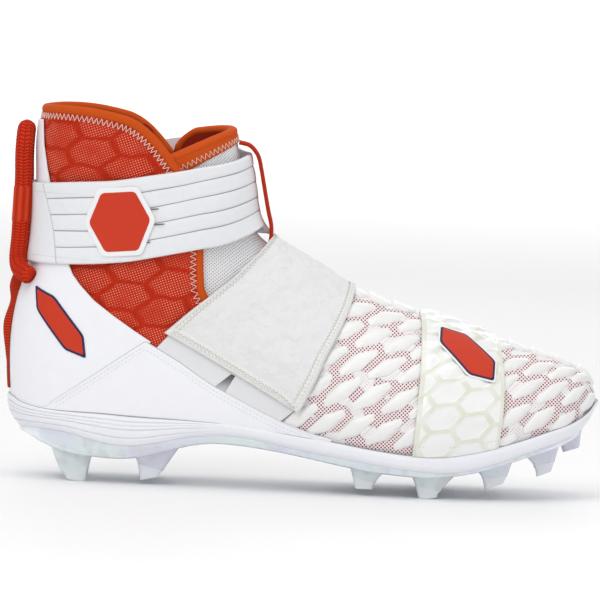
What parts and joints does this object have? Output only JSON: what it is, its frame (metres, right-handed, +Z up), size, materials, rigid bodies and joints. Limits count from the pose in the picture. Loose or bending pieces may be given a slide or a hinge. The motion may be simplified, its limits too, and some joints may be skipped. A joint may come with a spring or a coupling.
{
  "type": "american football cleat",
  "caption": "White and orange high-top football cleat for the right foot, with ankle strap, midfoot strap, scaled forefoot and clear studded plate.",
  "frame": {"origin": "middle of the underside of the whole shoe's box, at the height of the lowest stud tips", "axes": "+X heel to toe, +Y towards the inner (medial) side of the right foot, +Z up"},
  "size_m": [0.304, 0.102, 0.188],
  "materials": {
    "upper_mesh": "knitted orange-red mesh, matte",
    "synthetic": "smooth white synthetic, satin",
    "strap_fabric": "light grey-white elastic and felt, matte",
    "band_film": "glossy film over cloth with a fine hexagon print",
    "tongue_fabric": "white spacer mesh, matte",
    "insole_fabric": "brushed lining, matte",
    "foam": "moulded white foam, satin",
    "clear_plate": "clear, faintly iridescent moulded plastic",
    "stud_tip": "milky translucent plastic",
    "webbing": "orange woven webbing and cord, matte"
  },
  "bodies": {
    "root": {"ankle_strap": "strap_fabric", "forefoot_band": "band_film", "heel_counter": "synthetic", "heel_pull_loop": "webbing", "heel_webbing": "webbing", "insole": "insole_fabric", "midfoot_strap": "strap_fabric", "midsole": "foam", "outsole": "clear_plate", "side_panel_inner": "synthetic", "side_panel_outer": "synthetic", "strap_anchor": "synthetic", "stud_arch_front_inner": "stud_tip", "stud_arch_front_outer": "stud_tip", "stud_ball_front_inner": "stud_tip", "stud_ball_front_outer": "stud_tip", "stud_ball_inner": "stud_tip", "stud_ball_outer": "stud_tip", "stud_heel_front_inner": "stud_tip", "stud_heel_front_outer": "stud_tip", "stud_heel_rear_inner": "stud_tip", "stud_heel_rear_outer": "stud_tip", "stud_toe_back_inner": "stud_tip", "stud_toe_back_outer": "stud_tip", "tongue": "tongue_fabric", "tongue_pull": "webbing", "upper": "upper_mesh"}
  },
  "joints": []
}
